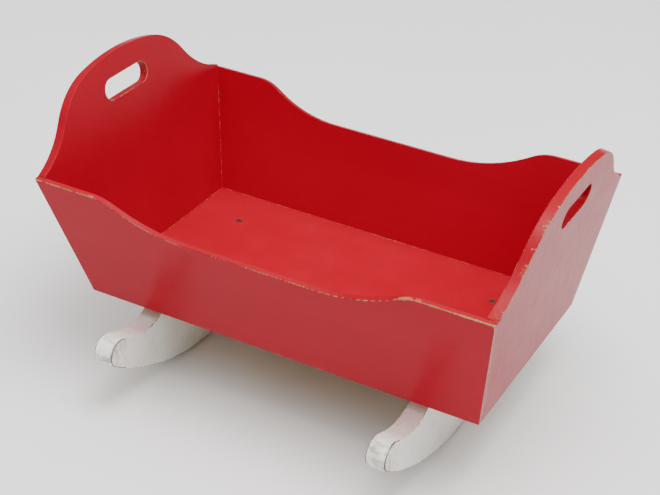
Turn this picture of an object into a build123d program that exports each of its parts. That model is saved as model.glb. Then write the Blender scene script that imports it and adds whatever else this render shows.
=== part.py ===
"""Doll's cradle: a flared plywood box with arched, slotted ends, screwed down onto two curved rockers.

Millimetres, +Z up. The head end is at -X and the foot end at +X; the front side is at -Y.
The origin lies on the floor, under the middle of the cradle's overall box.
"""
import os
from math import acos, atan2, cos, degrees, radians, sin, sqrt, tan

from build123d import *

# ---- plywood box ----
side_ply = 6.5              # thickness of the side panels
end_ply = 11.5              # thickness of the end panels
board_thick = 9.0           # thickness of the bottom board
bottom_length = 502.0       # outside length, along the panels' lower edges
bottom_width = 280.4        # outside width, along the panels' lower edges
side_lean = 16.9            # how far each panel leans outwards, in degrees
head_lean = 14.1
foot_lean = 7.8
board_lift = 4.4            # bottom board's underside above the panels' lower edges
arris = 0.8                 # rounding of the panels' visible edges

# side panel's top edge: heights up the panel's face, from its lower edge
head_level = 167.8          # level stretch beside the head end
middle_level = 134.5        # long low stretch
foot_level = 171.0          # level stretch beside the foot end
head_drop_at = -218.0       # x where the edge starts down from the head end's level
foot_rise_at = 62.0         # x where the edge starts up towards the foot end's level
head_slope = 30.0           # steepest part of the drop, in degrees
foot_slope = 31.0
head_brow, head_sweep = 58.0, 164.0     # radii at the top and bottom of the drop
foot_sweep, foot_brow = 192.0, 56.0     # radii at the bottom and top of the rise

# end panel's arched top edge, from its middle outwards: heights up the panel's face
crown = 256.5
crown_radius = 309.0
crown_slope = 12.3          # slope at the outer end of the crown's arc, in degrees
shoulder_radius = 96.0
hollow_radius = 114.0       # from the shoulder to the side panel
arch_aside = {"head": -4.6, "foot": 1.3}        # each arch's middle is this far off the centre line

# hand slots: rounded ends, through the end panels
slot_length = 85.6
slot_height = 26.2
slot_up = {"head": 214.9, "foot": 211.0}        # centre's height up the panel's face
slot_aside = {"head": -4.4, "foot": 6.8}        # centre's y

# ---- rockers ----
rocker_thick = 24.0
rocker_height = 111.5       # floor to the bottom board's underside
rocker_radius = 372.0       # the arc that rolls on the floor
rocker_reach = 227.2        # middle of the rocker to its tip
tip_radius = 17.0
tip_slope = 19.0            # slope of the top edge, falling inwards from the tip, in degrees
neck_at = 150.0             # middle of the rocker to the lowest place of its top edge
neck_height = 86.8          # that place's height above the floor
neck_outer, neck_inner = 92.0, 54.0     # hollow radii, towards the tip and towards the box
rocker_arris = 1.2
rocker_spacing = 352.0      # between the two rockers' mid planes
rocker_offset = -3.0        # middle of the pair, from the middle of the box, along x
rocker_stagger = 2.7        # each rocker is this far off the centre line, the two opposite ways

# ---- fastenings ----
screw_spacing = 150.0       # two screws in each rocker, along y
screw_length = 40.0
screw_shank = 4.0
screw_core = 3.4            # diameter of the stretch that is in the rocker
screw_head = 8.4
screw_slot_wide, screw_slot_deep = 1.1, 1.2
pin_length = 25.0
pin_shank = 1.4
pin_head = 2.6
pin_head_thick = 0.8
pin_punched = 0.6           # how far a pin's head is below the panel's face
corner_pins = 4             # pins up each of the four corners
corner_pin_low, corner_pin_high = 26.0, 24.0    # end pins' distance from the corner's two ends
long_pins, short_pins = 5, 3                    # pins along each long and short edge of the bottom board
pin_edge_gap = 40.0         # end pins' distance from the ends of the board's edge
hole_gap = 0.05             # clearance around a pin's or a screw's shank
head_gap = 0.15             # clearance around a head

# ---- worked out from the above ----
lean = {"side": radians(side_lean), "head": radians(head_lean), "foot": radians(foot_lean)}
edge_height = rocker_height - board_lift        # floor to the panels' lower edges
board_bottom = rocker_height
board_top = board_bottom + board_thick
margin = 60.0                                   # how far a blank runs past what trims it
tall = crown + margin


def level(slope_height, panel):
    """Height above the floor of a place on a panel's outer face."""
    return edge_height + slope_height * cos(lean[panel])


def overhang(panel):
    """How far the outermost place of an end panel stands out past its lower edge."""
    return crown * sin(lean[panel])


middle_x = (overhang("head") - overhang("foot")) / 2    # brings the overall box's middle to x = 0
rocker_x = {"head": middle_x + rocker_offset - rocker_spacing / 2,
            "foot": middle_x + rocker_offset + rocker_spacing / 2}
rocker_y = {"head": rocker_stagger, "foot": -rocker_stagger}


def outer_y(z, inset=0.0):
    """Half width of the box at height z, to the sides' outer faces or to a depth inside them."""
    return bottom_width / 2 + (z - edge_height) * tan(lean["side"]) - inset / cos(lean["side"])


def outer_x(z, end, inset=0.0):
    """Place along x of an end panel's outer face at height z, or of a depth inside it."""
    out = bottom_length / 2 + (z - edge_height) * tan(lean[end]) - inset / cos(lean[end])
    return middle_x + (out if end == "foot" else -out)


def between_sides(inset):
    """Everything between the two sides' outer faces, or between planes at a depth inside them."""
    low, high = edge_height - margin, edge_height + tall
    corners = [(-outer_y(low, inset), low), (outer_y(low, inset), low),
               (outer_y(high, inset), high), (-outer_y(high, inset), high)]
    section = Plane.YZ * make_face(Polyline(*corners, close=True))
    return extrude(section, amount=bottom_length, both=True)


def between_ends(inset):
    """Everything between the two ends' outer faces, or between planes at a depth inside them."""
    low, high = edge_height - margin, edge_height + tall
    corners = [(outer_x(low, "head", inset), low), (outer_x(low, "foot", inset), low),
               (outer_x(high, "foot", inset), high), (outer_x(high, "head", inset), high)]
    section = Plane.XZ * make_face(Polyline(*corners, close=True))
    return extrude(section, amount=bottom_width * 2, both=True)


# ---- outlines ----
class Path:
    """A run of lines and tangent arcs, drawn by heading. Angles in degrees, from +x, anticlockwise."""

    def __init__(self, x, y, heading=0.0):
        self.x, self.y, self.heading, self.edges = x, y, heading, []

    def line(self, length):
        a = radians(self.heading)
        return self.line_to(self.x + length * cos(a), self.y + length * sin(a))

    def line_to(self, x, y):
        self.edges.append(Line((self.x, self.y), (x, y)))
        self.x, self.y = x, y
        return self

    def turn(self, radius, heading):
        """An arc, left for a rising heading and right for a falling one, until the new heading."""
        side = 1 if heading > self.heading else -1
        a, b = radians(self.heading), radians(heading)
        mid = (a + b) / 2
        cx, cy = self.x - side * radius * sin(a), self.y + side * radius * cos(a)
        ends = [(cx + side * radius * sin(t), cy - side * radius * cos(t)) for t in (mid, b)]
        self.edges.append(ThreePointArc((self.x, self.y), *ends))
        (self.x, self.y), self.heading = ends[1], heading
        return self

    def face(self):
        return make_face(Wire(self.edges))


def reverse_bend(height, radii, steepest):
    """Slope and straight run, between two arcs, of an edge that changes its height.

    The steepest slope is for a tall enough bend. The arcs alone make up a lower one."""
    slope = min(steepest, degrees(acos(1 - height / radii)))
    return slope, (height - radii * (1 - cos(radians(slope)))) / sin(radians(slope))


def side_outline():
    """Side panel's flat pattern: x along the box, y up the panel's face."""
    fall, head_run = reverse_bend(head_level - middle_level, head_brow + head_sweep, head_slope)
    rise, foot_run = reverse_bend(foot_level - middle_level, foot_sweep + foot_brow, foot_slope)
    far = bottom_length / 2 + margin * 2
    path = Path(-far, head_level).line_to(head_drop_at, head_level)
    path.turn(head_brow, -fall).line(head_run).turn(head_sweep, 0)
    path.line_to(foot_rise_at, middle_level)
    path.turn(foot_sweep, rise).line(foot_run).turn(foot_brow, 0)
    path.line_to(far, foot_level).line_to(far, 0).line_to(-far, 0).line_to(-far, head_level)
    return path.face()


def end_corner(end):
    """Where an end panel's top edge meets the inner arris of a side: its y, and height up the face."""
    side_height = head_level if end == "head" else foot_level
    z = level(side_height, "side") + side_ply * sin(lean["side"])
    return outer_y(z, side_ply), (z - edge_height) / cos(lean[end])


def half_end(end, aside):
    """Half of an end panel's flat pattern, from the arch's middle, which is aside from the panel's."""
    corner_y, corner_up = end_corner(end)
    path = Path(aside, crown).turn(crown_radius, -crown_slope)
    # shoulder's centre, and how far the corner lies from it
    centre_x = path.x - shoulder_radius * sin(radians(crown_slope))
    centre_y = path.y - shoulder_radius * cos(radians(crown_slope))
    across, up = corner_y - centre_x, corner_up - centre_y
    reach = sqrt(across ** 2 + up ** 2)
    # the hollow's centre is where it touches the shoulder and its rim passes through the corner
    between = shoulder_radius + hollow_radius
    along = (reach ** 2 + between ** 2 - hollow_radius ** 2) / (2 * reach)
    off = sqrt(between ** 2 - along ** 2)
    hollow_x = (across * along - up * off) / reach
    hollow_y = (up * along + across * off) / reach
    path.turn(shoulder_radius, -degrees(atan2(hollow_x, hollow_y)))
    path.turn(hollow_radius, -degrees(atan2(hollow_x - across, hollow_y - up)))
    path.line(margin).line_to(path.x, 0).line_to(aside, 0).line_to(aside, crown)
    return path.face()


def end_outline(end, way):
    """End panel's flat pattern: x across the box, y up the panel's face."""
    aside = arch_aside[end] * way
    return half_end(end, aside) + mirror(half_end(end, -aside), about=Plane.YZ)


def rocker_outline():
    """Rocker's side view: x across the box, y up from the floor."""
    centre = rocker_radius
    tip_x = rocker_reach - tip_radius
    tip_y = centre - sqrt((rocker_radius - tip_radius) ** 2 - tip_x ** 2)
    away = rocker_radius / (rocker_radius - tip_radius)
    join_x, join_y = tip_x * away, centre + (tip_y - centre) * away
    slope = radians(tip_slope)
    over_x, over_y = tip_x - tip_radius * sin(slope), tip_y + tip_radius * cos(slope)
    hollow_x = neck_at + neck_outer * sin(slope)
    hollow_y = neck_height + neck_outer * (1 - cos(slope))
    rise = (board_bottom - neck_height) / neck_inner
    top_x = neck_at - neck_inner * sqrt(1 - (1 - rise) ** 2)
    low_join = centre - sqrt(rocker_radius ** 2 - (join_x / 2) ** 2)
    edges = [
        ThreePointArc((0, 0), (join_x / 2, low_join), (join_x, join_y)),
        ThreePointArc((join_x, join_y), (tip_x + tip_radius, tip_y), (over_x, over_y)),
        Line((over_x, over_y), (hollow_x, hollow_y)),
        ThreePointArc((hollow_x, hollow_y),
                      (neck_at + neck_outer * sin(slope / 2),
                       neck_height + neck_outer * (1 - cos(slope / 2))),
                      (neck_at, neck_height)),
        TangentArc((neck_at, neck_height), (top_x, board_bottom), tangent=(-1, 0)),
        Line((top_x, board_bottom), (0, board_bottom)),
        Line((0, board_bottom), (0, 0)),
    ]
    half = make_face(Wire(edges))
    return half + mirror(half, about=Plane.YZ)


# ---- holes and fastenings ----
def pin():
    """Panel pin, its head's top at the origin, pointing along +Z."""
    head = Cylinder(pin_head / 2, pin_head_thick, align=(Align.CENTER, Align.CENTER, Align.MIN))
    shank = Cylinder(pin_shank / 2, pin_length, align=(Align.CENTER, Align.CENTER, Align.MIN))
    point = chamfer(shank.edges().sort_by(Axis.Z)[-1], length=pin_shank, length2=pin_shank * 0.45)
    return head + point


def pin_hole():
    """Room for a pin, from outside the panel's face to the pin's point."""
    mouth = Cylinder(pin_head / 2 + head_gap, pin_punched + pin_head_thick + margin / 4,
                     align=(Align.CENTER, Align.CENTER, Align.MAX))
    bore = Cylinder(pin_shank / 2 + hole_gap, pin_length + hole_gap,
                    align=(Align.CENTER, Align.CENTER, Align.MIN))
    return Pos(0, 0, pin_head_thick) * mouth + bore


def cone_depth(wide, narrow):
    """Depth of a 90 degree countersink between two diameters."""
    return (wide - narrow) / 2


def screw():
    """Slotted countersunk wood screw, its head's top at the origin, pointing along -Z."""
    sink = cone_depth(screw_head, screw_shank)
    plain = board_thick - sink
    threaded = screw_length - board_thick
    point = screw_core
    profile = Polyline((0, 0), (screw_head / 2, 0), (screw_shank / 2, -sink),
                       (screw_shank / 2, -sink - plain), (screw_core / 2, -sink - plain),
                       (screw_core / 2, point - board_thick - threaded),
                       (0, -board_thick - threaded), close=True)
    body = revolve(Plane.XZ * make_face(profile), axis=Axis.Z)
    slot = Box(screw_head * 2, screw_slot_wide, screw_slot_deep * 2)
    return body - slot


def screw_hole():
    """Room for a screw: countersink, clearance hole in the board, and pilot hole in the rocker."""
    sink = cone_depth(screw_head, screw_shank)
    wide, bore = screw_head / 2 + head_gap, screw_shank / 2 + head_gap
    pilot = screw_core / 2 + hole_gap
    above = screw_head
    profile = Polyline((0, above), (wide, above), (wide, 0), (bore, -sink), (bore, -board_thick),
                       (pilot, -board_thick), (pilot, -screw_length - hole_gap),
                       (0, -screw_length - hole_gap), close=True)
    return revolve(Plane.XZ * make_face(profile), axis=Axis.Z)


def spread(low, high, count):
    """Evenly spaced places from low to high."""
    return [low + (high - low) * i / (count - 1) for i in range(count)]


def pin_places():
    """Every pin's place: node name -> planes at the heads' tops, whose z axis is the pin's way."""
    inward = (0, cos(lean["side"]), sin(lean["side"]))
    places = {}
    for side, way in (("front", 1), ("back", -1)):
        for end in ("head", "foot"):
            top = head_level if end == "head" else foot_level
            ups = spread(corner_pin_low, top - corner_pin_high, corner_pins)
            name = f"{side}_{end}_corner_pins"
            places[name] = []
            for up in ups:
                z = level(up, "side")
                # the head lies below the face, along the pin's own direction
                start = Vector(outer_x(z, end, end_ply / 2), -outer_y(z) * way, z)
                along = Vector(inward[0], inward[1] * way, inward[2])
                places[name].append(Plane(start + along * pin_punched, x_dir=(1, 0, 0), z_dir=along))
        z = board_bottom + board_thick / 2
        xs = spread(outer_x(z, "head") + pin_edge_gap, outer_x(z, "foot") - pin_edge_gap, long_pins)
        places[f"{side}_bottom_pins"] = [
            Plane((x, (pin_punched - outer_y(z)) * way, z), x_dir=(1, 0, 0), z_dir=(0, way, 0))
            for x in xs]
    z = board_bottom + board_thick / 2
    for end, way in (("head", 1), ("foot", -1)):
        ys = spread(pin_edge_gap - outer_y(z), outer_y(z) - pin_edge_gap, short_pins)
        places[f"{end}_bottom_pins"] = [
            Plane((outer_x(z, end) + pin_punched * way, y, z), x_dir=(0, 1, 0), z_dir=(way, 0, 0))
            for y in ys]
    return places


def screw_places(end):
    """Places of the two screws that go down into one rocker: their heads' tops."""
    return [Location((rocker_x[end], y, board_top)) for y in (-screw_spacing / 2, screw_spacing / 2)]


# ---- boards ----
def side_plane():
    """Front side's outer face: x along the box, y up the panel, z outwards."""
    a = lean["side"]
    return Plane((0, -bottom_width / 2, edge_height), x_dir=(1, 0, 0), z_dir=(0, -cos(a), -sin(a)))


def end_plane(end):
    """End panel's outer face: x across the box, y up the panel, z outwards."""
    a, way = lean[end], 1 if end == "foot" else -1
    return Plane((outer_x(edge_height, end), 0, edge_height),
                 x_dir=(0, way, 0), z_dir=(way * cos(a), 0, -sin(a)))


def soften(blank, plane, thick, lowest):
    """Rounds a panel's arrises, on both faces, that are higher up its face than a given height."""
    found = []
    for edge in blank.edges():
        places = [plane.to_local_coords(edge.position_at(t)) for t in (0.0, 0.5, 1.0)]
        on_face = any(all(abs(p.Z + depth) < hole_gap for p in places) for depth in (0.0, thick))
        if on_face and places[1].Y > lowest:
            found.append(edge)
    return fillet(found, min(arris, thick / 3))


def front_side():
    plane = side_plane()
    shift = Pos(middle_x, 0, 0)
    blank = extrude(plane * (shift * side_outline()), amount=-side_ply)
    return soften(blank, plane, side_ply, middle_level - arris) & between_ends(0)


def end_panel(end):
    plane = end_plane(end)
    way = 1 if end == "foot" else -1
    hand_slot = Pos(slot_aside[end] * way, slot_up[end]) * SlotOverall(slot_length, slot_height)
    outline = end_outline(end, way) - hand_slot
    blank = extrude(plane * outline, amount=-end_ply)
    corner_up = end_corner(end)[1]
    return soften(blank, plane, end_ply, corner_up - margin / 2) & between_sides(side_ply)


def bottom_board():
    blank = Pos(middle_x, 0, board_bottom) * Box(bottom_length * 2, bottom_width * 2, board_thick,
                                                 align=(Align.CENTER, Align.CENTER, Align.MIN))
    return blank & between_sides(side_ply) & between_ends(end_ply)


def rocker(end):
    blank = extrude(Plane.YZ * rocker_outline(), amount=rocker_thick / 2, both=True)
    rim = [edge for edge in blank.edges().filter_by(Axis.X, reverse=True)
           if edge.center().Z < board_bottom - hole_gap]
    return Pos(rocker_x[end], rocker_y[end], 0) * fillet(rim, rocker_arris)


def build():
    boards = {
        "front_side": front_side(),
        "back_side": mirror(front_side(), about=Plane.XZ),
        "head_end": end_panel("head"),
        "foot_end": end_panel("foot"),
        "bottom_board": bottom_board(),
        "head_rocker": rocker("head"),
        "foot_rocker": rocker("foot"),
    }
    fastenings = {}
    holes = {}      # board -> what is drilled out of it
    for end in ("head", "foot"):
        places = screw_places(end)
        fastenings[f"{end}_rocker_screws"] = [place * screw() for place in places]
        for board in ("bottom_board", f"{end}_rocker"):
            holes.setdefault(board, []).extend(place * screw_hole() for place in places)
    for name, planes in pin_places().items():
        fastenings[name] = [plane * pin() for plane in planes]
        if "corner" in name:
            side, end = name.split("_")[:2]
            joined = (f"{side}_side", f"{end}_end")
        else:
            first = name.split("_")[0]
            joined = (f"{first}_side" if first in ("front", "back") else f"{first}_end", "bottom_board")
        for board in joined:
            holes.setdefault(board, []).extend(plane * pin_hole() for plane in planes)
    for board, cuts in holes.items():
        boards[board] = boards[board] - cuts
    return boards, fastenings


boards, fastenings = build()
os.makedirs("parts", exist_ok=True)
for name, shape in boards.items():
    export_step(shape, f"parts/{name}.step")
for name, group in fastenings.items():
    export_step(Compound(children=group), f"parts/{name}.step")
print("nodes:", len(boards) + len(fastenings), "solids:",
      len(boards) + sum(len(group) for group in fastenings.values()))
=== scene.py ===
import math

import bmesh
import bpy
import numpy as np
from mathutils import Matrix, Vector, kdtree, noise


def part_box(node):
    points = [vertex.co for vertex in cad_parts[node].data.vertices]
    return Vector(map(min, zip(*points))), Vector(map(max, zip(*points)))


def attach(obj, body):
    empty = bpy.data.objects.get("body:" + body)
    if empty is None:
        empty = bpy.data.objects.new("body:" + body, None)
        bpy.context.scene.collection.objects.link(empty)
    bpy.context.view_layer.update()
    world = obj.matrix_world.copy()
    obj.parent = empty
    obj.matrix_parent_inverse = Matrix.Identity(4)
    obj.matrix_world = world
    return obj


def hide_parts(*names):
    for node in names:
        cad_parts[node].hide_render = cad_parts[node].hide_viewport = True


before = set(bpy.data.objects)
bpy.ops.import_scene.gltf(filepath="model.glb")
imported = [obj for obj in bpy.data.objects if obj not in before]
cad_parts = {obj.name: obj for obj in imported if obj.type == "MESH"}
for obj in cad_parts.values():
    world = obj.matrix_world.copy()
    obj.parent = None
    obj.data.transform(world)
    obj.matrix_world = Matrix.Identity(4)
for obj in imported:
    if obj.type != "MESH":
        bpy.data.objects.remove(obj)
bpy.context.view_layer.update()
mm = 0.001
print("frame loaded:", len(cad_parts), "nodes")

# camera

cameraView = {"place": (0.7228, -1.4285, 1.1317), "turn": (59.035, -2.673, 28.296),
              "lens": 86.0, "clip": (0.1, 60)}


def makeCamera(view):
    data = bpy.data.cameras.new("camera")
    data.lens = view["lens"]
    data.clip_start, data.clip_end = view["clip"]
    camera = bpy.data.objects.new("camera", data)
    camera.location = view["place"]
    camera.rotation_euler = [math.radians(angle) for angle in view["turn"]]
    bpy.context.scene.collection.objects.link(camera)
    bpy.context.scene.camera = camera


makeCamera(cameraView)
print("camera placed")

# helpers for node trees


def addNode(tree, kind, values=None, **settings):
    node = tree.nodes.new(kind)
    for name, value in settings.items():
        setattr(node, name, value)
    for key, value in (values or {}).items():
        if isinstance(value, bpy.types.NodeSocket):
            tree.links.new(value, node.inputs[key])
        else:
            node.inputs[key].default_value = value
    return node


def calc(tree, operation, *terms, clamp=False):
    values = dict(enumerate(terms))
    return addNode(tree, "ShaderNodeMath", values, operation=operation, use_clamp=clamp).outputs[0]


def times(tree, first, second):
    return calc(tree, "MULTIPLY", first, second)


def plus(tree, first, second):
    return calc(tree, "ADD", first, second)


def minus(tree, first, second):
    return calc(tree, "SUBTRACT", first, second)


def mixColor(tree, factor, low, high):
    values = {0: factor, 6: low, 7: high}
    return addNode(tree, "ShaderNodeMix", values, data_type="RGBA").outputs[2]


def layered(tree, paint, coats):  # each coat lies over the ones before it, where its mask says
    for mask, coat in coats:
        paint = mixColor(tree, mask, paint, coat)
    return paint


def ramp(tree, value, fromLow, fromHigh, toLow=0.0, toHigh=1.0):
    values = {0: value, 1: fromLow, 2: fromHigh, 3: toLow, 4: toHigh}
    return addNode(tree, "ShaderNodeMapRange", values, interpolation_type="SMOOTHSTEP").outputs[0]


def noiseOf(tree, place, scale, detail=3.0, rough=0.55):
    values = {"Vector": place, "Scale": scale, "Detail": detail, "Roughness": rough}
    return addNode(tree, "ShaderNodeTexNoise", values).outputs[0]


def objectPlace(tree):
    return addNode(tree, "ShaderNodeTexCoord").outputs["Object"]


def stretched(tree, place, stretch):
    return addNode(tree, "ShaderNodeVectorMath", {0: place, 1: stretch}, operation="MULTIPLY").outputs[0]


def startGroup(name, inputs, outputs):
    group = bpy.data.node_groups.new(name, "ShaderNodeTree")
    for label, kind, value in inputs:
        socket = group.interface.new_socket(label, in_out="INPUT", socket_type=kind)
        socket.default_value = value
    for label, kind in outputs:
        group.interface.new_socket(label, in_out="OUTPUT", socket_type=kind)
    return group, group.nodes.new("NodeGroupInput").outputs, group.nodes.new("NodeGroupOutput")


def endGroup(group, output, values):
    for label, socket in values.items():
        group.links.new(socket, output.inputs[label])
    return group


def useGroup(tree, group, values):
    return addNode(tree, "ShaderNodeGroup", values, node_tree=group).outputs


def attributeOf(tree, name):
    return addNode(tree, "ShaderNodeAttribute", attribute_name=name).outputs["Fac"]


number, colour, vector = "NodeSocketFloat", "NodeSocketColor", "NodeSocketVector"

# shader groups, each for more than one finish

edgeWearLook = {"chips": (0.3, 0.7, 0.45, 1.4), "patches": (0.32, 0.6, 0.4, 1.2), "softEdge": (-0.06, 0.12),
                "leastWear": 0.04}


def edgeWearGroup():  # Bare is where the paint has gone, Rim the thin line of undercoat round it
    look = edgeWearLook
    inputs = [("Gap", number, 9.0), ("Wear", number, 0.0), ("Width", number, 0.9), ("Hold", number, 0.35),
              ("Chip Scale", number, 480.0), ("Patch Scale", number, 60.0), ("Rim Width", number, 0.12)]
    group, given, output = startGroup("edgeWear", inputs, [("Bare", number), ("Rim", number)])
    place = objectPlace(group)
    chips = ramp(group, noiseOf(group, place, given["Chip Scale"], 4.0, 0.65), *look["chips"])
    patches = ramp(group, noiseOf(group, place, given["Patch Scale"], 2.0), *look["patches"])
    reach = times(group, times(group, given["Wear"], given["Width"]), times(group, chips, patches))
    held = times(group, minus(group, 1.0, given["Wear"]), given["Hold"])
    inside = minus(group, minus(group, reach, held), given["Gap"])
    worn = calc(group, "GREATER_THAN", given["Wear"], look["leastWear"])
    bare, wide = [times(group, ramp(group, edge, *look["softEdge"]), worn)
                  for edge in (inside, plus(group, inside, given["Rim Width"]))]
    return endGroup(group, output, {"Bare": bare, "Rim": calc(group, "SUBTRACT", wide, bare, clamp=True)})


paintFilmLook = {"broadScale": 14.0, "slowScale": 7.0, "grain": (0.3, 0.7), "peelHeight": 0.3,
                 "broadTone": 0.55, "slowTone": 0.45, "tone": (0.35, 0.65), "slowGloss": 0.6, "grainGloss": 0.4}


def paintFilmGroup():  # orange peel, brush drag along the grain, and slow changes of tone and gloss
    look = paintFilmLook
    inputs = [("Stretch", vector, (1.0, 1.0, 1.0)), ("Peel Scale", number, 520.0),
              ("Drag Scale", number, 190.0), ("Drag", number, 0.5)]
    outputs = [("Height", number), ("Tone", number), ("Gloss", number)]
    group, given, output = startGroup("paintFilm", inputs, outputs)
    place = objectPlace(group)
    along = stretched(group, place, given["Stretch"])
    peel = noiseOf(group, place, given["Peel Scale"], 1.0)
    drag = noiseOf(group, along, given["Drag Scale"], 3.0, 0.6)
    broad = noiseOf(group, along, look["broadScale"], 3.0)
    slow = noiseOf(group, place, look["slowScale"], 4.0, 0.6)
    grain = ramp(group, drag, *look["grain"])
    height = plus(group, times(group, peel, look["peelHeight"]), times(group, drag, given["Drag"]))
    tone = calc(group, "MULTIPLY_ADD", broad, look["broadTone"], times(group, slow, look["slowTone"]))
    gloss = calc(group, "MULTIPLY_ADD", slow, look["slowGloss"], times(group, grain, look["grainGloss"]))
    tone = ramp(group, tone, *look["tone"])
    return endGroup(group, output, {"Height": height, "Tone": tone, "Gloss": gloss})


plyLook = {"wanderScale": 90.0, "wander": 0.24, "gapScale": 130.0, "gaps": (0.3, 0.5), "core": (0.06, 0.94),
           "fibreScale": 260.0, "fibre": (0.3, 0.72)}


def plyGroup():  # Line marks the glue lines across a panel's cut edge, Wood is the bare board's colour
    look = plyLook
    inputs = [("Depth", number, 0.0), ("Plies", number, 5.0), ("Line Width", number, 0.16),
              ("Stretch", vector, (1.0, 1.0, 1.0)), ("Pale", colour, (0.42, 0.25, 0.10, 1)),
              ("Dark", colour, (0.25, 0.125, 0.045, 1))]
    group, given, output = startGroup("ply", inputs, [("Line", number), ("Wood", colour), ("Fibre", number)])
    along = stretched(group, objectPlace(group), given["Stretch"])
    wander = noiseOf(group, along, look["wanderScale"])
    wander = calc(group, "MULTIPLY_ADD", wander, look["wander"], -look["wander"] / 2)
    layer = plus(group, times(group, given["Depth"], given["Plies"]), wander)
    fromLine = calc(group, "ABSOLUTE", minus(group, calc(group, "FRACT", layer), 0.5))
    uneven = ramp(group, noiseOf(group, along, look["gapScale"]), *look["gaps"])
    first, last = look["core"]
    core = times(group, calc(group, "GREATER_THAN", given["Depth"], first),
                 calc(group, "LESS_THAN", given["Depth"], last))
    line = times(group, ramp(group, fromLine, given["Line Width"], 0.0), times(group, core, uneven))
    fibre = noiseOf(group, along, look["fibreScale"], 4.0, 0.7)
    wood = mixColor(group, ramp(group, fibre, *look["fibre"]), given["Dark"], given["Pale"])
    return endGroup(group, output, {"Line": line, "Wood": wood, "Fibre": fibre})


grimeLook = {"up": (0.35, 1.0), "cloudScale": 18.0, "clouds": (0.35, 0.75), "smears": (0.52, 0.74),
             "specks": (0.28, 0.12), "speckAreaScale": 90.0, "speckAreas": (0.62, 0.7)}


def grimeGroup():  # Dust lies on faces that look up, Smear is handled dirt, Speck is small dark marks
    look = grimeLook
    inputs = [("Amount", number, 0.3), ("Smear Scale", number, 24.0), ("Speck Scale", number, 700.0)]
    outputs = [("Dust", number), ("Smear", number), ("Speck", number)]
    group, given, output = startGroup("grime", inputs, outputs)
    place = objectPlace(group)
    facing = addNode(group, "ShaderNodeNewGeometry").outputs["Normal"]
    up = addNode(group, "ShaderNodeSeparateXYZ", {0: facing}).outputs["Z"]
    clouds = ramp(group, noiseOf(group, place, look["cloudScale"], 5.0, 0.65), *look["clouds"])
    cells = addNode(group, "ShaderNodeTexVoronoi", {"Vector": place, "Scale": given["Speck Scale"]})
    areas = ramp(group, noiseOf(group, place, look["speckAreaScale"], 2.0), *look["speckAreas"])
    marks = {"Dust": times(group, ramp(group, up, *look["up"]), clouds),
             "Smear": ramp(group, noiseOf(group, place, given["Smear Scale"], 6.0, 0.7), *look["smears"]),
             "Speck": times(group, ramp(group, cells.outputs["Distance"], *look["specks"]), areas)}
    marks = {label: times(group, mark, given["Amount"]) for label, mark in marks.items()}
    return endGroup(group, output, marks)


edgeWear, paintFilm, ply, grime = edgeWearGroup(), paintFilmGroup(), plyGroup(), grimeGroup()

# finishes


def startMaterial(name, **constants):
    material = bpy.data.materials.new(name)
    material.use_nodes = True
    shader = material.node_tree.nodes["Principled BSDF"]
    for label, value in constants.items():
        shader.inputs[label.replace("_", " ")].default_value = value
    return material, material.node_tree, shader


def bumpFrom(tree, shader, height, strength, distance):
    values = {"Height": height, "Strength": strength, "Distance": distance}
    tree.links.new(addNode(tree, "ShaderNodeBump", values).outputs[0], shader.inputs["Normal"])


redPaintLook = {
    "deep": (0.316, 0.0013, 0.0115, 1), "bright": (0.340, 0.0016, 0.0135, 1),
    "undercoat": (0.46, 0.16, 0.11, 1), "dusty": (0.50, 0.30, 0.28, 1), "dirty": (0.10, 0.012, 0.010, 1),
    "wearWidth": 1.2, "drag": 0.12, "grime": 0.25, "lineShare": 0.9, "dustShare": 0.05, "smearShare": 0.5,
    "gloss": (0.3, 0.7), "smearRoughness": 0.12, "bareRoughness": 0.75,
    "filmHeight": 0.05, "lineDepth": 0.30, "bareDepth": 0.75, "fibreHeight": 0.4, "bump": (0.5, 0.25 * mm),
}


def redPaint(name, stretch, plies, satinRange):
    look = redPaintLook
    material, tree, shader = startMaterial(name, IOR=1.5, Specular_IOR_Level=0.085)
    film = useGroup(tree, paintFilm, {"Stretch": stretch, "Drag": look["drag"]})
    board = useGroup(tree, ply, {"Depth": attributeOf(tree, "depth"), "Plies": plies, "Stretch": stretch})
    wear = useGroup(tree, edgeWear, {"Gap": attributeOf(tree, "gap"), "Wear": attributeOf(tree, "wear"),
                                     "Width": look["wearWidth"]})
    dirt = useGroup(tree, grime, {"Amount": look["grime"]})
    paint = layered(tree, mixColor(tree, film["Tone"], look["deep"], look["bright"]), [
        (times(tree, board["Line"], look["lineShare"]), look["dirty"]),
        (times(tree, dirt["Dust"], look["dustShare"]), look["dusty"]),
        (times(tree, dirt["Smear"], look["smearShare"]), look["deep"]),
        (dirt["Speck"], look["dirty"]), (wear["Rim"], look["undercoat"]), (wear["Bare"], board["Wood"])])
    tree.links.new(paint, shader.inputs["Base Color"])
    satin = ramp(tree, film["Gloss"], *look["gloss"], *satinRange)
    satin = plus(tree, satin, times(tree, dirt["Smear"], look["smearRoughness"]))
    satin = calc(tree, "MAXIMUM", satin, times(tree, wear["Bare"], look["bareRoughness"]))
    tree.links.new(satin, shader.inputs["Roughness"])
    height = minus(tree, times(tree, film["Height"], look["filmHeight"]),
                   times(tree, board["Line"], look["lineDepth"]))
    height = minus(tree, height, times(tree, wear["Bare"], look["bareDepth"]))
    fibre = times(tree, wear["Bare"], board["Fibre"])
    height = plus(tree, height, times(tree, fibre, look["fibreHeight"]))
    bumpFrom(tree, shader, height, *look["bump"])
    return material


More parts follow.
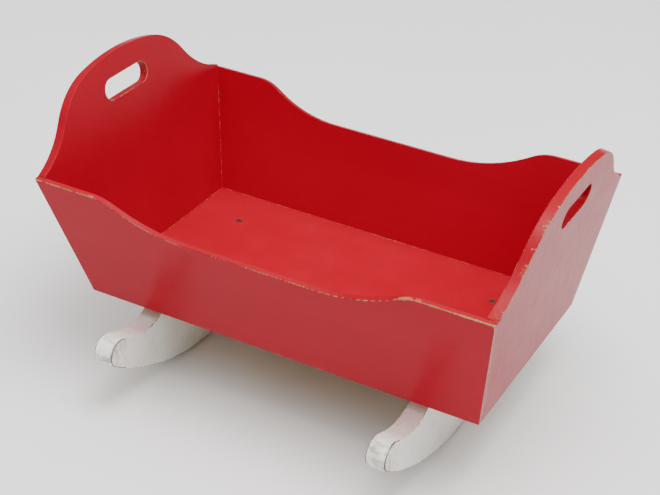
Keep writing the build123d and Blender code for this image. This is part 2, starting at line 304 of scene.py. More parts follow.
whitePaintLook = {
    # the pink colour is a painted reflection: the box's red light painted onto the rockers' white
    "clean": (0.87, 0.88, 0.83, 1), "yellowed": (0.80, 0.795, 0.72, 1), "reflectedRed": (0.72, 0.42, 0.42, 1),
    "scuff": (0.25, 0.27, 0.22, 1), "dirty": (0.20, 0.13, 0.09, 1),
    "woodPale": (0.21, 0.155, 0.105, 1), "woodDark": (0.10, 0.070, 0.048, 1),
    "wearWidth": 1.1, "rimWidth": 0.2, "drag": 0.9, "dragScale": 120.0, "grime": 0.8, "smearScale": 30.0,
    "blotchScale": 38.0, "blotches": (0.30, 0.62, 0.25, 1.0), "boxReflectionShare": 0.7,
    "streakScale": 90.0, "streakStretch": (1.0, 1.6, 0.8), "streaks": (0.42, 0.60), "scuffShare": 0.75,
    "smearShare": 0.22, "rimShare": 0.6, "gloss": (0.3, 0.7), "roughness": (0.32, 0.5),
    "scuffRoughness": 0.2, "bareRoughness": 0.8, "filmHeight": 0.45, "bareDepth": 0.8, "bump": (0.55, 0.3 * mm),
}


def whitePaint(name, stretch):
    look = whitePaintLook
    material, tree, shader = startMaterial(name, IOR=1.47)
    film = useGroup(tree, paintFilm, {"Stretch": stretch, "Drag": look["drag"],
                                      "Drag Scale": look["dragScale"]})
    board = useGroup(tree, ply, {"Plies": 1.0, "Stretch": stretch, "Pale": look["woodPale"],
                                 "Dark": look["woodDark"]})
    wear = useGroup(tree, edgeWear, {"Gap": attributeOf(tree, "gap"), "Wear": attributeOf(tree, "wear"),
                                     "Width": look["wearWidth"], "Rim Width": look["rimWidth"]})
    dirt = useGroup(tree, grime, {"Amount": look["grime"], "Smear Scale": look["smearScale"]})
    place = objectPlace(tree)
    across = addNode(tree, "ShaderNodeMapping", {0: place, 3: look["streakStretch"]}).outputs[0]
    blotches = ramp(tree, noiseOf(tree, place, look["blotchScale"], 5.0, 0.6), *look["blotches"])
    streaks = ramp(tree, noiseOf(tree, across, look["streakScale"], 4.0, 0.7), *look["streaks"])
    # painted reflection: the box's red light painted pink onto the rockers, broken into blotches
    boxReflection = times(tree, attributeOf(tree, "boxReflection"), blotches)
    scuff = times(tree, attributeOf(tree, "scuff"), streaks)
    paint = layered(tree, mixColor(tree, film["Tone"], look["yellowed"], look["clean"]), [
        (times(tree, boxReflection, look["boxReflectionShare"]), look["reflectedRed"]),
        (times(tree, scuff, look["scuffShare"]), look["scuff"]),
        (times(tree, dirt["Smear"], look["smearShare"]), look["dirty"]), (dirt["Speck"], look["dirty"]),
        (times(tree, wear["Rim"], look["rimShare"]), look["scuff"]), (wear["Bare"], board["Wood"])])
    tree.links.new(paint, shader.inputs["Base Color"])
    satin = ramp(tree, film["Gloss"], *look["gloss"], *look["roughness"])
    satin = plus(tree, satin, times(tree, scuff, look["scuffRoughness"]))
    satin = calc(tree, "MAXIMUM", satin, times(tree, wear["Bare"], look["bareRoughness"]))
    tree.links.new(satin, shader.inputs["Roughness"])
    height = minus(tree, times(tree, film["Height"], look["filmHeight"]),
                   times(tree, wear["Bare"], look["bareDepth"]))
    bumpFrom(tree, shader, height, *look["bump"])
    return material


screwSteelLook = {"dark": (0.030, 0.022, 0.018, 1), "light": (0.085, 0.065, 0.05, 1),
                  "rust": (0.10, 0.040, 0.018, 1), "rustShare": 0.9, "metallic": 0.6, "rustMetallic": 0.1,
                  "roughness": (0.42, 0.65), "patchScale": 260.0, "grainScale": 1900.0, "bump": (0.35, 0.05 * mm)}
pinSteelLook = {"dark": (0.26, 0.26, 0.27, 1), "light": (0.52, 0.52, 0.53, 1), "rust": (0.18, 0.10, 0.06, 1),
                "rustShare": 0.5, "metallic": 1.0, "rustMetallic": 0.1, "roughness": (0.25, 0.45),
                "patchScale": 320.0, "grainScale": 2600.0, "bump": (0.35, 0.05 * mm)}


def steel(name, look):
    material, tree, shader = startMaterial(name)
    rust = useGroup(tree, grime, {"Amount": 1.0, "Smear Scale": look["patchScale"]})["Smear"]
    grain = noiseOf(tree, objectPlace(tree), look["grainScale"], 5.0, 0.65)
    metal = mixColor(tree, ramp(tree, grain, 0.3, 0.7), look["dark"], look["light"])
    metal = mixColor(tree, times(tree, rust, look["rustShare"]), metal, look["rust"])
    tree.links.new(metal, shader.inputs["Base Color"])
    metallic = ramp(tree, rust, 0.0, 0.6, look["metallic"], look["rustMetallic"])
    tree.links.new(metallic, shader.inputs["Metallic"])
    tree.links.new(ramp(tree, grain, 0.2, 0.8, *look["roughness"]), shader.inputs["Roughness"])
    bumpFrom(tree, shader, grain, *look["bump"])
    return material


redSides = redPaint("redPaintSides", (0.10, 1.0, 1.0), 3.0, (0.17, 0.24))
redEnds = redPaint("redPaintEnds", (1.0, 1.0, 0.10), 5.0, (0.28, 0.33))
whiteRockers = whitePaint("whitePaint", (1.0, 0.12, 1.0))
screwSteel, pinSteel = steel("screwSteel", screwSteelLook), steel("pinSteel", pinSteelLook)
print("finishes made")

# boards: the frame's own shapes, with the pins' holes filled and painted over, and worn arrises

boardMesh = {
    "weld": 0.01 * mm, "flat": 0.15, "sliver": 0.004 * mm, "longEdge": 14 * mm, "arrisEdge": 3.5 * mm,
    "turns": 9, "outFacing": 0.8, "facetFacing": (0.35, 0.94), "arrisStep": 1 * mm, "arrisBand": 2 * mm,
    "sharpAngle": 50.0, "holeReach": 1.7 * mm, "holePast": 3 * mm, "screwReach": 6 * mm,
    "dentGap": 0.05, "dentDepth": 0.44 * mm, "dentScale": 240.0, "normalWeight": 60,
}


def islandsOf(mesh):
    bm = bmesh.new()
    bm.from_mesh(mesh)
    bmesh.ops.remove_doubles(bm, verts=bm.verts, dist=boardMesh["weld"])
    seen, islands = set(), []
    for start in bm.verts:
        if start in seen:
            continue
        stack, island = [start], []
        seen.add(start)
        while stack:
            vert = stack.pop()
            island.append(vert.co.copy())
            for edge in vert.link_edges:
                other = edge.other_vert(vert)
                if other not in seen:
                    seen.add(other)
                    stack.append(other)
        islands.append(island)
    bm.free()
    return islands


def axisOf(island):  # a pin's or a screw's line: the middle of its head's top, its way in, and its length
    points = np.array([tuple(p) for p in island])
    middle = points.mean(0)
    way = np.linalg.svd(points - middle)[2][0]
    along = (points - middle) @ way
    radius = np.linalg.norm(points - middle - np.outer(along, way), axis=1)
    if along[radius.argmax()] > 0:  # the head is the widest place
        way, along = -way, -along
    onLine = middle + way * along.min()
    return Vector(onLine), Vector(way), float(np.ptp(along))


screwAxes = [axisOf(island) for node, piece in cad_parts.items() if node.endswith("_screws")
             for island in islandsOf(piece.data)]
pinAxes = {node: [axisOf(island) for island in islandsOf(piece.data)]
           for node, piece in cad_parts.items() if node.endswith("_pins")}


def fillPinHoles(bm):
    axes = [axis for node in pinAxes for axis in pinAxes[node]]
    inHole = set()
    for vert in bm.verts:
        for top, way, length in axes:
            offset = vert.co - top
            along = offset.dot(way)
            if -boardMesh["holePast"] < along < length + boardMesh["holePast"]:
                if (offset - way * along).length < boardMesh["holeReach"]:
                    inHole.add(vert)
                    break
    bmesh.ops.delete(bm, geom=[f for f in bm.faces if all(v in inHole for v in f.verts)], context="FACES")
    bmesh.ops.holes_fill(bm, edges=[e for e in bm.edges if e.is_boundary], sides=0)


def isArris(edge):
    return len(edge.link_faces) == 2 and edge.calc_face_angle(0.0) > math.radians(boardMesh["sharpAngle"])


def nearScrew(point):
    return any((point - top - way * (point - top).dot(way)).length < boardMesh["screwReach"]
               for top, way, length in screwAxes)


def arrisPoints(bm, out):  # points along every rounded or sharp arris, taken while the faces are still whole
    least, most = boardMesh["facetFacing"]
    rounded = {face for face in bm.faces if least < abs(face.normal.dot(out)) < most}
    edges = {max(face.edges, key=lambda edge: edge.calc_length()) for face in rounded}
    edges |= {edge for edge in bm.edges if isArris(edge)}
    points = []
    for edge in edges:
        start, end = edge.verts[0].co, edge.verts[1].co
        steps = max(int(edge.calc_length() / boardMesh["arrisStep"]), 1)
        points += [start.lerp(end, i / steps) for i in range(steps + 1)]
    return [p for p in points if not nearScrew(p)]


knockSizes = {"corners": [("front_side", 1, 5.5), ("front_side", -1, 2.0),
                          ("back_side", 1, 3.5), ("back_side", -1, 1.8)],
              "reach": 14 * mm, "climb": 1.6, "footBand": 1 * mm, "aboveCorner": 0.4 * mm}


def edgeLine(node, sign):  # a side panel's end edge: its foot, its slope, and the level of its top corner
    points = [v.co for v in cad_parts[node].data.vertices]
    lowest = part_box(node)[0].z
    bottom = max((p for p in points if p.z < lowest + knockSizes["footBand"]), key=lambda p: p.x * sign)
    top = max(points, key=lambda p: p.x * sign)
    slope = (top.x - bottom.x) / (top.z - bottom.z)
    return {"foot": bottom, "slope": slope, "y": top.y, "corner": top.copy(),
            "level": top.z + knockSizes["aboveCorner"]}


knocks = [edgeLine(node, sign) | {"sign": sign, "radius": radius * mm}
          for node, sign, radius in knockSizes["corners"]]


def edgeAt(knock, z):  # where a side panel's end edge is, at a level
    return knock["foot"].x + knock["slope"] * (z - knock["foot"].z)


def roundCorner(point):  # the box's four top corners, knocked round
    for knock in knocks:
        radius = knock["radius"] * (1 - abs(point.y - knock["y"]) / knockSizes["reach"])
        if radius <= 0:
            continue
        centreZ = knock["level"] - radius
        edgeX = edgeAt(knock, centreZ)
        across = (point.x - knock["slope"] * (point.z - centreZ) - edgeX) * knock["sign"] + radius
        up = point.z - centreZ
        far = math.hypot(across, up)
        if across > 0 and 0 < up < radius * knockSizes["climb"] and far > radius:
            point.z = centreZ + up * radius / far
            inward = knock["sign"] * (across * radius / far - radius)
            point.x = edgeX + inward + knock["slope"] * (point.z - centreZ)


def needsCut(edge, arrises):  # fine near an arris or a knocked corner, coarse elsewhere
    length = edge.calc_length()
    if length > boardMesh["longEdge"]:
        return True
    if length <= boardMesh["arrisEdge"]:
        return False
    middle = edge.verts[0].co.lerp(edge.verts[1].co, 0.5)
    if any((middle - knock["corner"]).length < knockSizes["reach"] for knock in knocks):
        return True
    return arrises.find(middle)[2] < boardMesh["arrisBand"]


def densify(bm, arrises):
    bmesh.ops.triangulate(bm, faces=bm.faces)
    bmesh.ops.dissolve_degenerate(bm, dist=boardMesh["sliver"], edges=bm.edges)
    bmesh.ops.triangulate(bm, faces=bm.faces)
    for turn in range(boardMesh["turns"]):
        longEdges = [edge for edge in bm.edges if needsCut(edge, arrises)]
        if not longEdges:
            break
        bmesh.ops.subdivide_edges(bm, edges=longEdges, cuts=1)
        bmesh.ops.triangulate(bm, faces=[f for f in bm.faces if len(f.verts) > 3])


def outwardOf(bm, facing):  # the way that a board's largest outer face looks
    faces = [face for face in bm.faces if face.normal.dot(Vector(facing)) > boardMesh["outFacing"]]
    return max(faces, key=lambda face: face.calc_area()).normal.copy()


def treeOf(points):
    tree = kdtree.KDTree(len(points))
    for i, point in enumerate(points):
        tree.insert(point, i)
    tree.balance()
    return tree


def clamped(value):
    return min(max(value, 0.0), 1.0)


def noMark(fraction, place):
    return 0.0


def makeBoard(node, board):
    bm = bmesh.new()
    bm.from_mesh(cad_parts[node].data)
    bmesh.ops.remove_doubles(bm, verts=bm.verts, dist=boardMesh["weld"])
    fillPinHoles(bm)
    bmesh.ops.dissolve_limit(bm, angle_limit=math.radians(boardMesh["flat"]), verts=bm.verts, edges=bm.edges)
    bm.normal_update()
    out = outwardOf(bm, board["faces"])
    arrises = treeOf(arrisPoints(bm, out))
    densify(bm, arrises)
    bm.normal_update()
    low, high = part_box(node)
    outermost = max(vert.co.dot(out) for vert in bm.verts)
    gapOf, wearOf, depthOf, boxReflectionOf, scuffOf = [bm.verts.layers.float.new(name)
                                                for name in ("gap", "wear", "depth", "boxReflection", "scuff")]
    for vert in bm.verts:
        gap = arrises.find(vert.co)[2] / mm
        depth = (outermost - vert.co.dot(out)) / board["thick"]
        fraction = [(vert.co[i] - low[i]) / (high[i] - low[i]) for i in range(3)]
        wear = board["wearAt"](fraction, depth, vert.co)
        if depth > board.get("bareFrom", math.inf):
            gap, wear = -1.0, 1.0
        vert[gapOf], vert[depthOf], vert[wearOf] = gap, clamped(depth), min(wear, 1.0)
        # painted reflection of the box's red on the rockers, only on faces that look up
        vert[boxReflectionOf] = board.get("boxReflectionAt", noMark)(fraction, vert.co) * max(vert.normal.z, 0.0)
        vert[scuffOf] = board.get("scuffAt", noMark)(fraction, vert.co)
    for vert in bm.verts:
        if vert[gapOf] < boardMesh["dentGap"]:  # on an arris: small dents where it is worn
            hit = max(noise.noise(vert.co * boardMesh["dentScale"]), 0.0) * vert[wearOf]
            vert.co -= vert.normal * hit * boardMesh["dentDepth"]
        if board["slot"] == "red_paint":
            roundCorner(vert.co)
    for edge in bm.edges:
        edge.smooth = not isArris(edge)
    for face in bm.faces:
        face.smooth = True
    bm.normal_update()
    mesh = bpy.data.meshes.new(node + "_board")
    bm.to_mesh(mesh)
    bm.free()
    piece = bpy.data.objects.new(node + "_board", mesh)
    bpy.context.scene.collection.objects.link(piece)
    mesh.materials.append(board["finish"])
    weighted = piece.modifiers.new("weighted", "WEIGHTED_NORMAL")
    weighted.keep_sharp = True
    weighted.weight = boardMesh["normalWeight"]
    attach(piece, "root")
    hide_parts(node)
    print("board", node, len(mesh.polygons), "triangles")


# where each arris is worn: (start, end, strength) along the board, from its low end to its high end
frontWear = {"outer": [(-0.1, 0.15, 0.55), (0.15, 0.40, 0.22), (0.40, 0.80, 0.38), (0.80, 1.1, 0.95)],
             "inner": 0.10, "lower": 0.22, "corner": 0.30}
backWear = {"outer": [(-0.1, 0.05, 0.5), (0.05, 0.52, 0.22), (0.52, 0.80, 0.6), (0.80, 1.1, 0.35)],
            "inner": 0.12, "lower": 0.22, "corner": 0.25}
headWear = {"outer": [(-0.1, 1.1, 0.16)], "inner": 0.08, "lower": 0.2, "slot": 0.35}
footWear = {"outer": [(-0.1, 0.12, 0.25), (0.12, 0.62, 0.44), (0.62, 1.1, 0.34)],
            "inner": 0.2, "lower": 0.2, "slot": 0.25}
frontChips = [((0.965, 0.80), 0.03, 1.0), ((0.52, 0.0), 0.012, 0.9), ((0.614, 0.0), 0.012, 0.9)]
wearPlaces = {"sideTop": 0.5, "endTop": 0.45, "toInner": 1.6, "soft": 0.02, "slotUp": (0.7, 0.93),
              "slotAcross": 0.16, "cornerAcross": 8 * mm, "cornerBelow": 7 * mm, "chipUp": 0.3, "chipGain": 1.5}


def windowAt(place, start, end, soft):
    return clamped((place - start) / soft + 0.5) * clamped((end - place) / soft + 0.5)


def topWear(table, place, depth):  # along a board's top edge: the outer arris, fading to the inner one
    outer = max(windowAt(place, start, end, wearPlaces["soft"]) * strength
                for start, end, strength in table["outer"])
    return outer + (table["inner"] - outer) * min(depth * wearPlaces["toInner"], 1.0)


def besideEnd(place, side):
    for knock in knocks:
        across = abs(place.x - edgeAt(knock, place.z))
        below = knock["level"] - wearPlaces["cornerBelow"]
        if knock["y"] * side > 0 and across < wearPlaces["cornerAcross"] and place.z < below:
            return True
    return False


def sideWear(side, table, chips=()):
    def wearAt(fraction, depth, place):
        along, up = fraction[0], fraction[2]
        if besideEnd(place, side):
            wear = table["corner"]
        elif up > wearPlaces["sideTop"]:
            wear = topWear(table, along, depth)
        else:
            wear = table["lower"]
        for (atAlong, atUp), radius, strength in chips:
            near = math.hypot(along - atAlong, (up - atUp) * wearPlaces["chipUp"]) / radius
            wear = max(wear, strength * max(1.0 - near, 0.0) * wearPlaces["chipGain"])
        return wear
    return wearAt


def endWear(table):
    slotLow, slotHigh = wearPlaces["slotUp"]

    def wearAt(fraction, depth, place):
        across, up = fraction[1], fraction[2]
        if slotLow < up < slotHigh and abs(across - 0.5) < wearPlaces["slotAcross"]:
            return table["slot"]
        return topWear(table, across, depth) if up > wearPlaces["endTop"] else table["lower"]
    return wearAt


# these marks also place the painted red reflection of the box on the rockers' top edges
rockerMarks = {"running": 0.62, "runningUp": (0.16, 0.42), "top": 0.26, "tip": 0.56, "tipFrom": 0.86,
               "boxReflection": (0.5, 0.86, 0.12), "boxReflectionUp": 0.3, "boxReflectionGain": 3, "scuffFrom": 0.86, "scuffGain": 8}


def fromMiddle(fraction):
    return abs(fraction[1] - 0.5) * 2


def rockerWear(fraction, depth, place):
    start, rise = rockerMarks["runningUp"]
    running = fraction[2] < start + rise * fromMiddle(fraction) ** 2
    wear = rockerMarks["running"] if running else rockerMarks["top"]
    return max(wear, rockerMarks["tip"]) if fromMiddle(fraction) > rockerMarks["tipFrom"] else wear


def rockerBoxReflection(fraction, place):  # painted reflection: red light from the box painted pink on the rocker's top edge next to it
    up = clamped((fraction[2] - rockerMarks["boxReflectionUp"]) * rockerMarks["boxReflectionGain"])
    return windowAt(fromMiddle(fraction), *rockerMarks["boxReflection"]) * up


def rockerScuff(fraction, place):
    return clamped((fromMiddle(fraction) - rockerMarks["scuffFrom"]) * rockerMarks["scuffGain"])


def bottomWear(fraction, depth, place):
    return 0.12


def redBoard(faces, thick, wearAt, finish=redSides):
    return {"faces": faces, "thick": thick, "wearAt": wearAt, "finish": finish, "slot": "red_paint"}


thickness = {"side": 6.5 * mm, "end": 11.5 * mm, "bottom": 9 * mm, "rocker": 24 * mm}
rocker = {"faces": (1, 0, 0), "thick": thickness["rocker"], "wearAt": rockerWear, "finish": whiteRockers,
          "slot": "white_paint", "boxReflectionAt": rockerBoxReflection, "scuffAt": rockerScuff}
boards = {
    "front_side": redBoard((0, -1, 0), thickness["side"], sideWear(-1, frontWear, frontChips)),
    "back_side": redBoard((0, 1, 0), thickness["side"], sideWear(1, backWear)),
    "head_end": redBoard((-1, 0, 0), thickness["end"], endWear(headWear), redEnds),
    "foot_end": redBoard((1, 0, 0), thickness["end"], endWear(footWear), redEnds),
    "bottom_board": redBoard((0, 0, 1), thickness["bottom"], bottomWear) | {"bareFrom": 0.9},  # bare underneath
    "head_rocker": rocker,
    "foot_rocker": rocker,
}
for node, board in boards.items():
    makeBoard(node, board)
print("boards made")

# fastenings, by geometry nodes


def startTree(name, inputs):
    tree = bpy.data.node_groups.new(name, "GeometryNodeTree")
    tree.interface.new_socket("Geometry", in_out="INPUT", socket_type="NodeSocketGeometry")
    for label, value in inputs.items():
        socket = tree.interface.new_socket(label, in_out="INPUT", socket_type=number)
        socket.default_value = value
    tree.interface.new_socket("Geometry", in_out="OUTPUT", socket_type="NodeSocketGeometry")
    return tree, tree.nodes.new("NodeGroupInput").outputs, tree.nodes.new("NodeGroupOutput")


def finishTree(tree, output, geometry, material):
    real = addNode(tree, "GeometryNodeRealizeInstances", {0: geometry}).outputs[0]
    flat = addNode(tree, "GeometryNodeSetShadeSmooth", {"Geometry": real, "Shade Smooth": False}).outputs[0]
    painted = addNode(tree, "GeometryNodeSetMaterial", {"Geometry": flat, "Material": material}).outputs[0]
    tree.links.new(painted, output.inputs[0])


def join(tree, *parts):
    node = tree.nodes.new("GeometryNodeJoinGeometry")
    for part in parts:
        tree.links.new(part, node.inputs[0])
    return node.outputs[0]


def moveTo(tree, geometry, z):
    place = addNode(tree, "ShaderNodeCombineXYZ", {"Z": z}).outputs[0]
    return addNode(tree, "GeometryNodeTransform", {"Geometry": geometry, "Translation": place}).outputs[0]


def coneNode(tree, top, bottom, depth, sides):
    values = {"Vertices": sides, "Radius Top": top, "Radius Bottom": bottom, "Depth": depth}
    return addNode(tree, "GeometryNodeMeshCone", values).outputs[0]


def tubeAlong(tree, path, radius, sides):
    ring = addNode(tree, "GeometryNodeCurvePrimitiveCircle", {"Resolution": sides, "Radius": radius}).outputs[0]
    values = {"Curve": path, "Profile Curve": ring, "Fill Caps": True}
    return addNode(tree, "GeometryNodeCurveToMesh", values).outputs[0]


def instanceOnPins(tree, points, fastener):  # each fastener points along its own way
    way = addNode(tree, "GeometryNodeInputNamedAttribute", {"Name": "way"}, data_type="FLOAT_VECTOR").outputs[0]
    turn = addNode(tree, "FunctionNodeAlignRotationToVector", {"Vector": way}, axis="Z").outputs[0]
    values = {"Points": points, "Instance": fastener, "Rotation": turn}
    return addNode(tree, "GeometryNodeInstanceOnPoints", values).outputs[0]


def radiiOf(tree, given, *labels):
    return [times(tree, given[label + " Diameter"], 0.5) for label in labels]


screwSizes = {"Head Diameter": 8.4 * mm, "Shank Diameter": 4.0 * mm, "Core Diameter": 2.7 * mm,
              "Length": 40 * mm, "Plain Length": 9 * mm, "Pitch": 1.8 * mm, "Thread Radius": 0.42 * mm,
              "Slot Length": 20 * mm, "Slot Width": 1.1 * mm, "Slot Depth": 1.2 * mm}
screwSides = {"head": 32, "shank": 24, "core": 16, "turn": 14, "ridge": 4}


def screwTree(material):  # slotted countersunk wood screw, along +Z from its head's top
    tree, given, output = startTree("rockerScrew", screwSizes)
    headRadius, shankRadius, coreRadius = radiiOf(tree, given, "Head", "Shank", "Core")
    sink = minus(tree, headRadius, shankRadius)
    head = coneNode(tree, shankRadius, headRadius, sink, screwSides["head"])
    barSize = {"X": given["Slot Length"], "Y": given["Slot Width"], "Z": times(tree, given["Slot Depth"], 2.0)}
    bar = addNode(tree, "ShaderNodeCombineXYZ", barSize).outputs[0]
    bar = addNode(tree, "GeometryNodeMeshCube", {"Size": bar}).outputs[0]
    cutHead = addNode(tree, "GeometryNodeMeshBoolean", {0: head}, operation="DIFFERENCE")
    tree.links.new(bar, cutHead.inputs[1])
    plainLength = minus(tree, given["Plain Length"], sink)
    plain = coneNode(tree, shankRadius, shankRadius, plainLength, screwSides["shank"])
    threaded = minus(tree, given["Length"], given["Plain Length"])
    pointLength = given["Core Diameter"]
    coreLength = minus(tree, threaded, pointLength)
    core = coneNode(tree, coreRadius, coreRadius, coreLength, screwSides["core"])
    point = coneNode(tree, 0.0, coreRadius, pointLength, screwSides["core"])
    turns = calc(tree, "DIVIDE", coreLength, given["Pitch"])
    spiral = {"Resolution": screwSides["turn"], "Rotations": turns, "Start Radius": coreRadius,
              "End Radius": coreRadius, "Height": coreLength}
    helix = addNode(tree, "GeometryNodeCurveSpiral", spiral).outputs[0]
    thread = tubeAlong(tree, helix, given["Thread Radius"], screwSides["ridge"])
    screw = join(tree, cutHead.outputs[0], moveTo(tree, plain, sink), moveTo(tree, core, given["Plain Length"]),
                 moveTo(tree, point, plus(tree, given["Plain Length"], coreLength)),
                 moveTo(tree, thread, given["Plain Length"]))
    finishTree(tree, output, instanceOnPins(tree, given["Geometry"], screw), material)
    return tree


pinSizes = {"Head Diameter": 2.6 * mm, "Head Thickness": 0.8 * mm, "Shank Diameter": 1.4 * mm,
            "Length": 25 * mm, "Point Length": 1.6 * mm, "Grip Diameter": 1.46 * mm, "Grip Height": 0.3 * mm,
            "Grip Pitch": 0.9 * mm}
pinCounts = {"headSides": 16, "shankSides": 12, "pointSides": 4, "grips": 4}
barrelTaper = 0.9


def pinTree(material):  # panel pin: a small barrel head, gripping rings under it, and a point
    tree, given, output = startTree("panelPin", pinSizes)
    headRadius, shankRadius, gripRadius = radiiOf(tree, given, "Head", "Shank", "Grip")
    shankAt, sides = given["Head Thickness"], pinCounts["shankSides"]
    barrel = coneNode(tree, headRadius, times(tree, headRadius, barrelTaper), shankAt, pinCounts["headSides"])
    shankLength = minus(tree, minus(tree, given["Length"], given["Point Length"]), shankAt)
    shank = coneNode(tree, shankRadius, shankRadius, shankLength, sides)
    point = coneNode(tree, 0.0, shankRadius, given["Point Length"], pinCounts["pointSides"])
    ring = coneNode(tree, shankRadius, gripRadius, given["Grip Height"], sides)
    step = addNode(tree, "ShaderNodeCombineXYZ", {"Z": given["Grip Pitch"]}).outputs[0]
    line = addNode(tree, "GeometryNodeMeshLine", {"Count": pinCounts["grips"], "Offset": step}).outputs[0]
    rings = addNode(tree, "GeometryNodeInstanceOnPoints", {"Points": line, "Instance": ring}).outputs[0]
    pin = join(tree, barrel, moveTo(tree, shank, shankAt), moveTo(tree, rings, times(tree, shankAt, 2.0)),
               moveTo(tree, point, minus(tree, given["Length"], given["Point Length"])))
    finishTree(tree, output, instanceOnPins(tree, given["Geometry"], pin), material)
    return tree


def plainMesh(name, source, tree, values):  # runs a tree on a mesh and keeps only its result
    holder = bpy.data.objects.new(name + "_source", source)
    bpy.context.scene.collection.objects.link(holder)
    modifier = holder.modifiers.new(tree.name, "NODES")
    modifier.node_group = tree
    sockets = {item.name: item.identifier for item in tree.interface.items_tree if item.in_out == "INPUT"}
    for label, value in values.items():
        modifier[sockets[label]] = value
    evaluated = holder.evaluated_get(bpy.context.evaluated_depsgraph_get())
    mesh = bpy.data.meshes.new_from_object(evaluated)
    mesh.name = name
    bpy.data.objects.remove(holder)
    piece = bpy.data.objects.new(name, mesh)
    bpy.context.scene.collection.objects.link(piece)
    return piece


def placesMesh(name, axes):
    mesh = bpy.data.meshes.new(name + "_places")
    mesh.from_pydata([tuple(top) for top, way, length in axes], [], [])
    ways = mesh.attributes.new("way", "FLOAT_VECTOR", "POINT")
    for i, (top, way, length) in enumerate(axes):
        ways.data[i].vector = way
    return mesh


weldNear = 0.001 * mm


def cleanPiece(piece, node=None):
    bm = bmesh.new()
    bm.from_mesh(piece.data)
    bmesh.ops.remove_doubles(bm, verts=bm.verts, dist=weldNear)
    bmesh.ops.recalc_face_normals(bm, faces=bm.faces)
    bm.to_mesh(piece.data)
    bm.free()
    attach(piece, "root")
    if node:
        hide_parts(node)


screws, pins = screwTree(screwSteel), pinTree(pinSteel)
for node in ("head_rocker_screws", "foot_rocker_screws"):
    axes = [axisOf(island) for island in islandsOf(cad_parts[node].data)]
    piece = plainMesh(node + "_threaded", placesMesh(node, axes), screws, screwSizes)
    cleanPiece(piece, node)
for node, axes in pinAxes.items():
    piece = plainMesh(node + "_punched", placesMesh(node, axes), pins, pinSizes)
    cleanPiece(piece, node)
print("fastenings made")

# beads of paint, run into the inner corners

beadSizes = {"Radius": 0.75 * mm}
beadPath = {"sides": 10, "steps": 24, "endSteps": 6, "belowTop": 4 * mm, "levelBand": 0.1 * mm,
            "endBand": 1.2 * mm, "wear": 0.12}
around = [(-1, -1), (1, -1), (1, 1), (-1, 1)]  # the box's corners, in turn


def beadTree(material):
    tree, given, output = startTree("paintBead", beadSizes)
    path = addNode(tree, "GeometryNodeMeshToCurve", {0: given["Geometry"]}).outputs[0]
    finishTree(tree, output, tubeAlong(tree, path, given["Radius"], beadPath["sides"]), material)
    return tree


def innerCorners():  # the bottom board's four corners, top and underside
    points = [v.co.copy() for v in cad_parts["bottom_board"].data.vertices]
    low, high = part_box("bottom_board")
    corners = {}
    for level, z in (("top", high.z), ("under", low.z)):
        flat = [p for p in points if abs(p.z - z) < beadPath["levelBand"]]
        for sx, sy in around:
            corners[level, sx, sy] = max(flat, key=lambda p: p.x * sx + p.y * sy)
    return corners


def beadLines():
    corners, count = innerCorners(), beadPath["steps"]
    tops = {knock["sign"]: knock["level"] for knock in knocks}
    lines = []
    for i, (sx, sy) in enumerate(around):  # along the bottom board's edge, then up the corner
        a, b = corners["top", sx, sy], corners["top", *around[(i + 1) % 4]]
        lines.append([a.lerp(b, j / count) for j in range(count + 1)])
        way = a - corners["under", sx, sy]
        climb = (tops[sx] - beadPath["belowTop"] - a.z) / way.z
        lines.append([a + way * climb * j / count for j in range(count + 1)])
    drop, count = Vector((0, 0, beadSizes["Radius"])), beadPath["endSteps"]
    for node in ("head_end", "foot_end"):  # over the joints of the ends' top edges with the sides
        points = [v.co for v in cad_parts[node].data.vertices]
        for side in (-1, 1):
            reach = max(p.y * side for p in points)
            corner = [p for p in points if p.y * side > reach - beadPath["endBand"]]
            low, high = min(corner, key=lambda p: p.x), max(corner, key=lambda p: p.x)
            lines.append([low.lerp(high, j / count) - drop for j in range(count + 1)])
    return lines


def paintBeads(material):
    places, edges = [], []
    for line in beadLines():
        first = len(places)
        places += [tuple(point) for point in line]
        edges += [(first + i, first + i + 1) for i in range(len(line) - 1)]
    mesh = bpy.data.meshes.new("bead_path")
    mesh.from_pydata(places, edges, [])
    piece = plainMesh("paint_beads", mesh, beadTree(material), beadSizes)
    wear = piece.data.attributes.new("wear", "FLOAT", "POINT")
    for i in range(len(piece.data.vertices)):
        wear.data[i].value = beadPath["wear"]
    cleanPiece(piece)


paintBeads(redSides)
print("paint beads made")

# studio

studio = {"floorSize": 40.0, "floorDim": (0.855, 0.86, 0.865, 1), "floorPale": (0.88, 0.88, 0.885, 1),
          "floorTones": (0.35, 0.65), "floorRoughness": (0.3, 0.7, 0.8, 0.9), "floorBump": (0.15, 0.1 * mm),
          "skyTop": 2.8, "skyLow": 0.135, "skyFrom": 0.50, "skyTo": 0.88, "skyLean": (0.10, -0.10),
          "backdrop": 0.80, "lowTint": (1.0, 0.90, 0.79, 1), "topTint": (0.985, 0.99, 1.0, 1),
          "keyPower": 70.0, "keySize": 1.3, "keyPlace": (0.55, -0.35, 2.6), "keyTint": (1.0, 0.99, 0.97)}


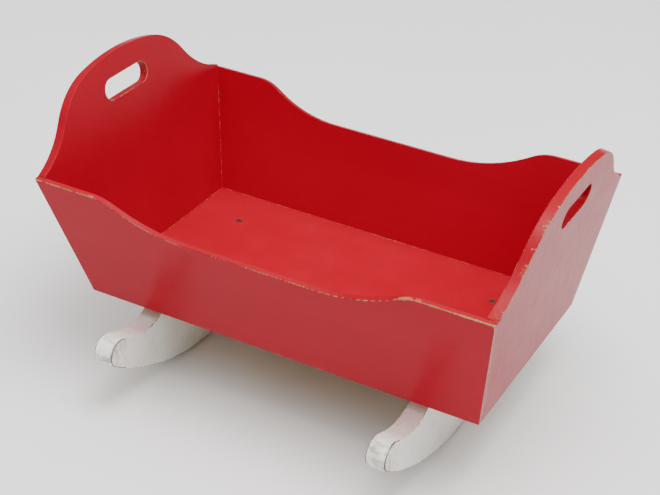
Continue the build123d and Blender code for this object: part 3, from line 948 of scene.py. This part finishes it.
def floorFinish():
    material, tree, shader = startMaterial("paperFloor")
    place = objectPlace(tree)
    tone = noiseOf(tree, place, 1.6, 4.0)
    paper = mixColor(tree, ramp(tree, tone, *studio["floorTones"]), studio["floorDim"], studio["floorPale"])
    tree.links.new(paper, shader.inputs["Base Color"])
    tree.links.new(ramp(tree, tone, *studio["floorRoughness"]), shader.inputs["Roughness"])
    bumpFrom(tree, shader, noiseOf(tree, place, 500.0, 3.0), *studio["floorBump"])
    return material


def makeFloor():
    half = studio["floorSize"] / 2
    mesh = bpy.data.meshes.new("floor")
    corners = [(-half, -half, 0), (half, -half, 0), (half, half, 0), (-half, half, 0)]
    mesh.from_pydata(corners, [], [(0, 1, 2, 3)])
    mesh.materials.append(floorFinish())
    floor = bpy.data.objects.new("floor", mesh)
    bpy.context.scene.collection.objects.link(floor)


def makeSky():  # bright overhead, dim low down, with a plain backdrop behind the object
    world = bpy.data.worlds.new("studio")
    bpy.context.scene.world = world
    world.use_nodes = True
    tree = world.node_tree
    background = tree.nodes["Background"]
    generated = addNode(tree, "ShaderNodeTexCoord").outputs["Generated"]
    way = addNode(tree, "ShaderNodeSeparateXYZ", {0: generated}).outputs
    leanX, leanY = studio["skyLean"]
    height = calc(tree, "MULTIPLY_ADD", way["X"], leanX, way["Z"])
    height = calc(tree, "MULTIPLY_ADD", way["Y"], leanY, height)
    sky = ramp(tree, height, studio["skyFrom"], studio["skyTo"], studio["skyLow"], studio["skyTop"])
    seen = addNode(tree, "ShaderNodeLightPath").outputs["Is Camera Ray"]
    strength = plus(tree, times(tree, sky, minus(tree, 1.0, seen)), times(tree, seen, studio["backdrop"]))
    rise = ramp(tree, height, studio["skyFrom"], studio["skyTo"])
    tree.links.new(mixColor(tree, rise, studio["lowTint"], studio["topTint"]), background.inputs["Color"])
    tree.links.new(strength, background.inputs["Strength"])


def makeSoftbox():
    lamp = bpy.data.lights.new("softbox", "AREA")
    lamp.energy, lamp.size, lamp.color = studio["keyPower"], studio["keySize"], studio["keyTint"]
    softbox = bpy.data.objects.new("softbox", lamp)
    softbox.location = studio["keyPlace"]
    softbox.rotation_euler = Vector(studio["keyPlace"]).to_track_quat("Z", "Y").to_euler()
    bpy.context.scene.collection.objects.link(softbox)


makeFloor()
makeSky()
makeSoftbox()
print("studio made")
